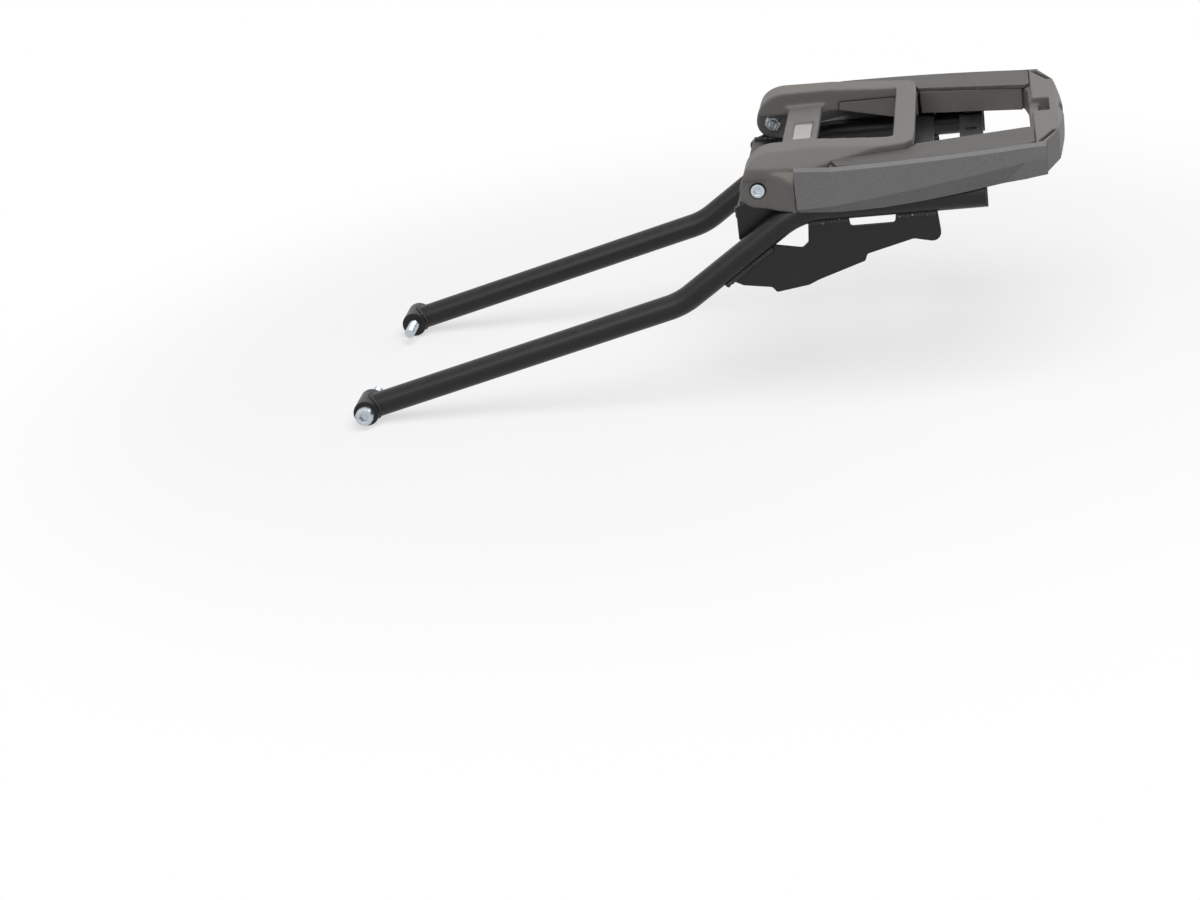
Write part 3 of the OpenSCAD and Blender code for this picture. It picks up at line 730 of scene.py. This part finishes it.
def weld(name, paths, tree, sockets, thin=1.0):
    """One object of weld beads along several point rows."""
    steel = bpy.context.scene.rack_steel
    finish = finish_once("weld_coat", weld_finish)
    piece = along_paths(name, paths, tree, sockets, {
        "Radius": steel.bead * thin, "Step": steel.ripple * thin,
        "Seed": steel.seed, "Finish": finish})
    return keep(piece, "black_coat", finish)


# Operators
class PieceOperator(bpy.types.Operator):
    """Base of the rack's operators"""

    bl_options = {"REGISTER", "UNDO"}

    def execute(self, context):
        self.make(context.scene)
        return {"FINISHED"}


class RACK_OT_carry_loop(PieceOperator):
    """Makes the rounded front loop and its bare badge plate"""

    bl_idname = "rack.carry_loop"
    bl_label = "Carry loop"

    # The seat of a screw's head on the nose, and the edge that meets the skirt, stay crisp
    NOSE_Y = 0.065
    SEAT_REACH = 0.0105
    SEAT_SHARE = 0.25
    FLANK_Y = 0.09
    EDGE_REACH = 0.003
    EDGE_SHARE = 0.2

    def make(self, scene):
        sizes = scene.rack_mouldings
        low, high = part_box("nose_screws")
        screw_x = (low.x + high.x) / 2
        screw_z = (low.z + high.z) / 2
        skirt_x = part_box("side_skirt_left")[0].x

        def hold(point):
            near = math.hypot(point.x - screw_x, point.z - screw_z)
            if abs(point.y) > self.NOSE_Y and near < self.SEAT_REACH:
                return self.SEAT_SHARE
            if abs(point.y) > self.FLANK_Y and abs(point.x - skirt_x) < self.EDGE_REACH:
                return self.EDGE_SHARE
            return 1.0

        loop = softened("carry_loop", "carry_loop_moulding", sizes.voxel, sizes.loop_passes, hold)
        keep(loop, "moulded_plastic", finish_once("plate_plastic", plate_finish), "carry_loop")
        plate = bevelled("badge_plate", "badge_plate_blank", 0.3 * MM)
        keep(plate, "badge_silver", finish_once("badge_silver", badge_finish), "badge_plate")


class RACK_OT_rear_deck(PieceOperator):
    """Makes the rounded rear deck and the inner panels"""

    bl_idname = "rack.rear_deck"
    bl_label = "Rear deck"

    def make(self, scene):
        sizes = scene.rack_mouldings
        deck = softened("rear_deck", "rear_deck_moulding", sizes.voxel, sizes.deck_passes)
        keep(deck, "moulded_plastic", finish_once("plate_plastic", plate_finish), "rear_deck")
        for side in SIDES:
            node = f"inner_panel_{side}"
            panel = bevelled(node, f"{node}_sheet", 0.5 * MM)
            keep(panel, "moulded_plastic", finish_once("plate_plastic", plate_finish), node)


class RACK_OT_rail_pads(PieceOperator):
    """Makes the grained pads"""

    bl_idname = "rack.rail_pads"
    bl_label = "Rail pads"

    def make(self, scene):
        for side in SIDES:
            node = f"rail_pad_{side}"
            pad = bevelled(node, f"{node}_strip", 0.6 * MM)
            keep(pad, "pad_plastic", finish_once("pad_grain", pad_finish), node)


class RACK_OT_side_skirts(PieceOperator):
    """Makes the speckled side skirts"""

    bl_idname = "rack.side_skirts"
    bl_label = "Side skirts"

    # Height of the crease at the front, and how far it and the lower edge climb to the rear
    CREASE_FRONT = -0.0345
    CREASE_CLIMB = 0.0185
    FOOT_CLIMB = 0.011
    LEAST_FACET = 0.004
    # The facet fades out toward the rear, as shares of the skirt's length
    FADE_END = 0.96
    FADE_LENGTH = 0.55

    def make(self, scene):
        for side in SIDES:
            node = f"side_skirt_{side}"
            lean = self.turned_in(*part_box(node), scene.rack_mouldings.facet)
            skirt = bevelled(node, f"{node}_moulding", 0.5 * MM, 3, angle=9.0, reshape=lean)
            keep(skirt, "skirt_plastic", finish_once("skirt_plastic", skirt_finish), node)

    def turned_in(self, low, high, depth):
        """Leans the lower facet inward, under a crease that climbs to the rear."""
        def lean(point):
            along = (point.x - low.x) / (high.x - low.x)
            crease = self.CREASE_FRONT + self.CREASE_CLIMB * along
            foot = low.z + self.FOOT_CLIMB * along
            share = (crease - point.z) / max(crease - foot, self.LEAST_FACET)
            fade = min(1.0, max(0.0, (self.FADE_END - along) / self.FADE_LENGTH))
            inward = depth * min(1.0, max(0.0, share)) * fade
            return Vector((point.x, point.y - math.copysign(inward, point.y), point.z))
        return lean


class RACK_OT_tube_frame(PieceOperator):
    """Finishes the tubes, bosses, caps, lugs, crossmember, gussets and straps"""

    bl_idname = "rack.tube_frame"
    bl_label = "Tube frame"

    # How far from its boss's axis a tube starts, hidden inside the boss
    TUBE_START = 0.0025

    def make(self, scene):
        coat = finish_once("satin_coat", coat_finish)
        edge = scene.rack_steel.edge
        tree, sockets = sweep_tree()
        for side in SIDES:
            self.tube(scene, side, tree, sockets, coat)
            boss = bevelled(f"front_boss_{side}", f"front_boss_{side}_coated", edge)
            keep(boss, "black_coat", coat, f"front_boss_{side}")
            cap = bevelled(f"tube_end_cap_{side}", f"tube_end_cap_{side}_moulding", edge)
            rubber = finish_once("cap_plastic", rubber_finish)
            keep(cap, "cap_plastic", rubber, f"tube_end_cap_{side}")
            for stem in ("gusset", "front_lug"):
                sheet = bevelled(f"{stem}_{side}", f"{stem}_{side}_coated", edge)
                keep(sheet, "black_coat", coat, f"{stem}_{side}")
        for node in ("front_crossmember", "front_strap", "rear_strap"):
            sheet = bevelled(node, f"{node}_coated", edge)
            keep(sheet, "black_coat", coat, node)

    def tube(self, scene, side, tree, sockets, coat):
        """One bent tube, from inside its boss to its rear end."""
        node = f"side_tube_{side}"
        low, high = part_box(node)
        boss_low, boss_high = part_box(f"front_boss_{side}")
        boss = (boss_low + boss_high) / 2
        y = (low.y + high.y) / 2
        radius = (high.y - low.y) / 2
        start = Vector((boss.x, y, boss.z))
        lower = Vector((LOWER_CORNER.x, y, LOWER_CORNER.z))
        path = [start + (lower - start).normalized() * self.TUBE_START, lower,
                Vector((UPPER_CORNER.x, y, UPPER_CORNER.z)), Vector((high.x, y, UPPER_CORNER.z))]
        piece = along_paths(f"{node}_coated", [path], tree, sockets, {
            "Radius": radius, "Bend": scene.rack_steel.bend, "Finish": coat})
        keep(piece, "black_coat", coat, node)


class RACK_OT_welds(PieceOperator):
    """Lays the weld beads between the steel pieces"""

    bl_idname = "rack.welds"
    bl_label = "Welds"

    # Start and end of each gusset stitch, from the upper bend's corner along the tube
    SLOPE_STITCH = (0.033, 0.074)
    LEVEL_STITCHES = ((0.008, 0.032), (0.069, 0.093))
    # Half the length of a bead across a strap's edge
    STRAP_BEAD = 0.003
    # The boss's bead has smaller lumps and runs just inside the tube's skin
    BOSS_THIN = 0.6
    BOSS_INSET = 0.96
    BOSS_POINTS = 48

    def make(self, scene):
        tree, sockets = bead_tree()
        bead = scene.rack_steel.bead
        tube_low, tube_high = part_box("side_tube_right")
        radius = (tube_high.y - tube_low.y) / 2
        tube_y = (tube_low.y + tube_high.y) / 2
        for side, sign in (("left", -1.0), ("right", 1.0)):
            paths = self.gusset_paths(bead, radius, sign)
            paths += self.joint_paths(bead, radius, tube_y, sign)
            weld(f"welds_{side}", paths, tree, sockets)
            saddle = self.boss_path(radius, tube_y, sign)
            weld(f"boss_weld_{side}", [saddle], tree, sockets, self.BOSS_THIN)

    def gusset_paths(self, bead, radius, sign):
        """Stitches along both faces of a gusset, under the slope and under the level run."""
        low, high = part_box("gusset_right")
        slope = (LOWER_CORNER - UPPER_CORNER).normalized()
        below = Vector((-slope.z, 0.0, slope.x))
        level = Vector((1.0, 0.0, 0.0))
        down = Vector((0.0, 0.0, -1.0))
        stitches = [(slope, below, *self.SLOPE_STITCH)]
        stitches += [(level, down, *ends) for ends in self.LEVEL_STITCHES]
        paths = []
        for y, out in ((low.y, -1.0), (high.y, 1.0)):
            side = Vector((0.0, sign * (y + out * bead * 0.35), 0.0))
            for along, under, start, end in stitches:
                edge = under * (radius + bead * 0.2) + side
                paths.append([UPPER_CORNER + along * start + edge,
                              UPPER_CORNER + along * end + edge])
        return paths

    def joint_paths(self, bead, radius, tube_y, sign):
        """Short beads where the straps and the crossmember meet their neighbours."""
        paths = []
        for node in ("front_strap", "rear_strap"):
            low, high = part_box(node)
            for x in (low.x, high.x):
                paths.append([Vector((x, sign * (tube_y + step), UPPER_CORNER.z + radius))
                              for step in (-self.STRAP_BEAD, self.STRAP_BEAD)])
        low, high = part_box("front_crossmember")
        y = sign * (high.y - 0.2 * bead)
        for x in (low.x, high.x):
            paths.append([Vector((x, y, low.z + bead)), Vector((x, y, high.z - bead))])
        paths.append([Vector((low.x + bead, y, high.z)), Vector((high.x - bead, y, high.z))])
        return paths

    def boss_path(self, radius, tube_y, sign):
        """The saddle line where a tube meets its boss."""
        low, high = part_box("front_boss_right")
        centre = Vector(((low.x + high.x) / 2, sign * tube_y, (low.z + high.z) / 2))
        boss_r = (high.z - low.z) / 2
        along = (LOWER_CORNER - Vector((centre.x, 0.0, centre.z))).normalized()
        up = Vector((-along.z, 0.0, along.x))
        inset = self.BOSS_INSET * radius
        points = []
        for k in range(self.BOSS_POINTS + 1):
            a = 2 * math.pi * k / self.BOSS_POINTS
            rise = inset * math.cos(a)
            points.append(centre + along * math.sqrt(boss_r ** 2 - rise ** 2) + up * rise
                          + Vector((0.0, inset * math.sin(a), 0.0)))
        return points


class RACK_OT_fasteners(PieceOperator):
    """Makes the threaded bolts, screws, nuts, washers and inserts"""

    bl_idname = "rack.fasteners"
    bl_label = "Fasteners"

    # Diameters of the threads, then the heights, radii and chamfers that the boxes don't give
    BOLT_D = 8 * MM
    SCREW_D = 6 * MM
    NOSE_HEAD_H = 5 * MM
    STRAP_HEAD_R = 5.25 * MM
    STRAP_SHANK = 4 * MM
    WASHER_OUTER = 6 * MM
    WASHER_HOLE = 3.2 * MM
    WASHER_CHAMFER = 0.25 * MM
    NUT_HOLE = 2.97 * MM
    NUT_CHAMFER = 0.6 * MM
    INSERT_OUTER = 4.25 * MM
    INSERT_HOLE = 3.0 * MM
    INSERT_CHAMFER = 0.4 * MM

    def make(self, scene):
        sizes = scene.rack_fasteners
        zinc = finish_once("zinc_plate", zinc_finish)
        self.boss_bolts(sizes, zinc)
        self.nose_hardware(sizes, zinc)
        self.strap_hardware(sizes, zinc)

    def boss_bolts(self, sizes, zinc):
        """A bolt from outside through each boss, with its thread free for the frame."""
        for side, sign in (("left", -1.0), ("right", 1.0)):
            node = f"boss_bolt_{side}"
            low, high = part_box(node)
            boss_low, boss_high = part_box(f"front_boss_{side}")
            outer = max(abs(boss_low.y), abs(boss_high.y))
            inner = min(abs(boss_low.y), abs(boss_high.y))
            tip = min(abs(low.y), abs(high.y))
            head = max(abs(low.y), abs(high.y)) - outer
            x = (low.x + high.x) / 2
            z = (low.z + high.z) / 2
            rings = socket_screw_rings(self.BOLT_D, high.x - low.x, head, outer - inner,
                                       inner - tip, sizes.boss_pitch)
            mesh = turned_mesh(node, rings, pointing(x, sign * outer, z, (0, sign, 0)))
            piece = smooth_by_angle(new_piece(f"{node}_threaded", mesh), 30.0)
            keep(piece, "zinc", zinc, node)

    def nose_hardware(self, sizes, zinc):
        """Screws from outside through the noses, with a nut and a washer on each."""
        low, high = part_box("nose_screws")
        nut_low, nut_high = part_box("nose_nuts")
        washer_low, washer_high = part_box("nose_washers")
        x = (low.x + high.x) / 2
        z = (low.z + high.z) / 2
        head_d = high.x - low.x
        under_head = high.y - self.NOSE_HEAD_H
        washer_in = self.inner_face("nose_washers")
        nut_in = self.inner_face("nose_nuts")
        tip = self.inner_face("nose_screws")
        screws, nuts, washers = [], [], []
        for sign in (-1.0, 1.0):
            out = (0, sign, 0)
            rings = socket_screw_rings(self.SCREW_D, head_d, self.NOSE_HEAD_H,
                                       under_head - washer_in, washer_in - tip, sizes.screw_pitch)
            screws.append(turned_mesh("screw", rings, pointing(x, sign * under_head, z, out)))
            nuts.append(ring_along("nut", pointing(x, sign * nut_in, z, out),
                                   hexagon(nut_high.z - nut_low.z), self.NUT_HOLE,
                                   washer_in - nut_in, self.NUT_CHAMFER))
            washers.append(ring_along("washer", pointing(x, sign * washer_in, z, out),
                                      round_of((washer_high.x - washer_low.x) / 2),
                                      self.WASHER_HOLE, washer_high.y - washer_in,
                                      self.WASHER_CHAMFER))
        groups = (("nose_screws", screws), ("nose_nuts", nuts), ("nose_washers", washers))
        for node, meshes in groups:
            piece = smooth_by_angle(new_piece(f"{node}_turned", joined(node, meshes)), 30.0)
            keep(piece, "zinc", zinc, node)

    def strap_hardware(self, sizes, zinc):
        """Screws from below through the straps into brass inserts in the deck's bosses."""
        low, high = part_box("strap_screws")
        washer_low, washer_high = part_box("strap_washers")
        insert_low, insert_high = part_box("thread_inserts")
        head_r = self.STRAP_HEAD_R
        head_h = washer_low.z - low.z
        length = high.z - washer_low.z
        screws, washers, inserts = [], [], []
        for x, y in itertools.product((low.x + head_r, high.x - head_r),
                                      (low.y + head_r, high.y - head_r)):
            rings = socket_screw_rings(self.SCREW_D, 2 * head_r, head_h, self.STRAP_SHANK,
                                       length - self.STRAP_SHANK, sizes.screw_pitch)
            screws.append(turned_mesh("screw", rings, pointing(x, y, washer_low.z, (0, 0, -1))))
            washers.append(ring_along("washer", pointing(x, y, washer_low.z, (0, 0, 1)),
                                      round_of(self.WASHER_OUTER), self.WASHER_HOLE,
                                      washer_high.z - washer_low.z, self.WASHER_CHAMFER))
            inserts.append(ring_along("insert", pointing(x, y, insert_low.z, (0, 0, 1)),
                                      round_of(self.INSERT_OUTER), self.INSERT_HOLE,
                                      insert_high.z - insert_low.z, self.INSERT_CHAMFER))
        brass = finish_once("insert_brass", brass_finish)
        for node, meshes, slot, finish in (("strap_screws", screws, "zinc", zinc),
                                           ("strap_washers", washers, "zinc", zinc),
                                           ("thread_inserts", inserts, "insert_brass", brass)):
            piece = smooth_by_angle(new_piece(f"{node}_turned", joined(node, meshes)), 30.0)
            keep(piece, slot, finish, node)

    @staticmethod
    def inner_face(node):
        """Distance from the centre plane to the nearest face of a mirrored pair."""
        return min(abs(v.co.y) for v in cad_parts[node].data.vertices)


def seen_ray(tree):
    """1 for rays from the camera, off a gloss or through a clear piece, else 0."""
    path = tree.nodes.new("ShaderNodeLightPath")
    seen = path.outputs["Is Camera Ray"]
    for kind in ("Is Glossy Ray", "Is Transmission Ray"):
        either = tree.nodes.new("ShaderNodeMath")
        either.operation = "MAXIMUM"
        tree.links.new(seen, either.inputs[0])
        tree.links.new(path.outputs[kind], either.inputs[1])
        seen = either.outputs[0]
    return seen


class RACK_OT_stage(PieceOperator):
    """Sets the floor, the lamps, the world and the camera"""

    bl_idname = "rack.stage"
    bl_label = "Stage"

    # Half the floor's width, and the radius inside which it keeps the shadow
    FLOOR_HALF = 9.0
    SHADOW_REACH = 0.3
    # How much plain white the floor has within that radius
    NEAR_WHITE = 0.62
    FLOOR_GREY = (0.5, 0.5, 0.5)
    WHITE = (1.0, 1.0, 1.0, 1.0)
    # Each lamp's place from the object's centre, and its diameter
    KEY_LAMP = ((0.35, -0.45, 1.5), 1.5)
    FILL_LAMP = ((-0.7, -1.5, 1.1), 1.0)
    RIM_LAMP = ((1.2, 1.5, 0.9), 0.9)

    def make(self, scene):
        sizes = scene.rack_stage
        centre = (CAD_BOX[0] + CAD_BOX[1]) / 2
        self.floor(Vector((centre.x, centre.y, CAD_BOX[0].z - sizes.floor_gap)))
        self.world(scene, sizes.world_light)
        self.lamp("key lamp", centre, *self.KEY_LAMP, sizes.key_power)
        self.lamp("fill lamp", centre, *self.FILL_LAMP, sizes.fill_power)
        self.lamp("rim lamp", centre, *self.RIM_LAMP, sizes.rim_power)
        self.camera(scene, sizes)
        scene.view_settings.view_transform = "Standard"

    def floor(self, centre):
        """A wide square under the object."""
        half = self.FLOOR_HALF
        mesh = bpy.data.meshes.new("floor")
        mesh.from_pydata([(x, y, centre.z) for x, y in ((-half, -half), (half, -half),
                                                        (half, half), (-half, half))],
                         [], [(0, 1, 2, 3)])
        floor = new_piece("floor", mesh)
        floor.data.materials.append(self.floor_paint(centre))

    def world(self, scene, light):
        """Even light on the object, and plain white where the camera sees the world."""
        world = bpy.data.worlds.new("pale room")
        world.use_nodes = True
        tree = world.node_tree
        tree.nodes.clear()
        lit = tree.nodes.new("ShaderNodeBackground")
        lit.inputs["Strength"].default_value = light
        lit.inputs["Color"].default_value = self.WHITE
        seen = tree.nodes.new("ShaderNodeBackground")
        seen.inputs["Strength"].default_value = 1.0
        seen.inputs["Color"].default_value = self.WHITE
        mixed = tree.nodes.new("ShaderNodeMixShader")
        out = tree.nodes.new("ShaderNodeOutputWorld")
        tree.links.new(seen_ray(tree), mixed.inputs[0])
        tree.links.new(lit.outputs[0], mixed.inputs[1])
        tree.links.new(seen.outputs[0], mixed.inputs[2])
        tree.links.new(mixed.outputs[0], out.inputs["Surface"])
        scene.world = world

    def floor_paint(self, centre):
        """Pale floor that keeps the shadow near the object and is plain white farther out."""
        floor = Finish("pale floor", self.FLOOR_GREY, 0.9)
        floor.shader.inputs["Specular IOR Level"].default_value = 0.0
        seen = Value(floor, seen_ray(floor.tree))
        reach = floor.add("ShaderNodeVectorMath", {"operation": "DISTANCE"},
                          {0: floor.place, 1: centre}, "Value")
        far = floor.add("ShaderNodeMapRange", {"interpolation_type": "SMOOTHSTEP"}, {
            "Value": reach, "From Min": self.SHADOW_REACH, "From Max": 2.2 * self.SHADOW_REACH,
            "To Min": self.NEAR_WHITE})
        white = floor.add("ShaderNodeEmission", {}, {"Strength": 1.0})
        floor.color(floor.mix((*self.FLOOR_GREY, 1.0), (0.95, 0.95, 0.95, 1.0), seen))
        surface = Value(floor, floor.shader.outputs[0])
        mixed = floor.add("ShaderNodeMixShader", {}, {0: far * seen, 1: surface, 2: white})
        floor.tree.links.new(mixed.socket, floor.tree.nodes["Material Output"].inputs["Surface"])
        return floor.material

    @staticmethod
    def lamp(name, aim, offset, size, power):
        """A round area lamp that looks at the object's centre."""
        place = aim + Vector(offset)
        data = bpy.data.lights.new(name, "AREA")
        data.shape = "DISK"
        data.size = size
        data.energy = power
        lamp = bpy.data.objects.new(name, data)
        lamp.location = place
        lamp.rotation_euler = (aim - place).to_track_quat("-Z", "Y").to_euler()
        bpy.context.scene.collection.objects.link(lamp)

    @staticmethod
    def camera(scene, sizes):
        """The photo's view: aimed at a point, then rolled about its own axis."""
        data = bpy.data.cameras.new("camera")
        data.sensor_width = 36.0
        data.sensor_fit = "HORIZONTAL"
        data.lens = sizes.lens
        camera = bpy.data.objects.new("camera", data)
        place = Vector(sizes.camera_place)
        ahead = Vector(sizes.camera_aim) - place
        turn = ahead.to_track_quat("-Z", "Y").to_matrix().to_4x4()
        roll = Matrix.Rotation(-sizes.camera_roll, 4, "Z")
        camera.matrix_world = Matrix.Translation(place) @ turn @ roll
        scene.collection.objects.link(camera)
        scene.camera = camera


OPERATORS = (RACK_OT_carry_loop, RACK_OT_rear_deck, RACK_OT_rail_pads, RACK_OT_side_skirts,
             RACK_OT_tube_frame, RACK_OT_welds, RACK_OT_fasteners, RACK_OT_stage)


class RACK_PT_panel(bpy.types.Panel):
    """Lists the rack's operators"""

    bl_idname = "RACK_PT_panel"
    bl_label = "Top case rack"
    bl_space_type = "VIEW_3D"
    bl_region_type = "UI"
    bl_category = "Rack"

    def draw(self, context):
        for operator in OPERATORS:
            self.layout.operator(operator.bl_idname)
        for name, group in GROUPS.items():
            box = self.layout.box()
            box.label(text=group.__doc__)
            for key in group.__annotations__:
                box.prop(getattr(context.scene, name), key)


CLASSES = (*GROUPS.values(), *OPERATORS, RACK_PT_panel)


def register():
    for cls in CLASSES:
        bpy.utils.register_class(cls)
    for name, group in GROUPS.items():
        setattr(bpy.types.Scene, name, bpy.props.PointerProperty(type=group))


def unregister():
    for name in GROUPS:
        delattr(bpy.types.Scene, name)
    for cls in reversed(CLASSES):
        bpy.utils.unregister_class(cls)


def main():
    register()
    bpy.ops.rack.carry_loop()
    bpy.ops.rack.rear_deck()
    bpy.ops.rack.rail_pads()
    bpy.ops.rack.side_skirts()
    bpy.ops.rack.tube_frame()
    bpy.ops.rack.welds()
    bpy.ops.rack.fasteners()
    bpy.ops.rack.stage()


if __name__ == "__main__":
    main()
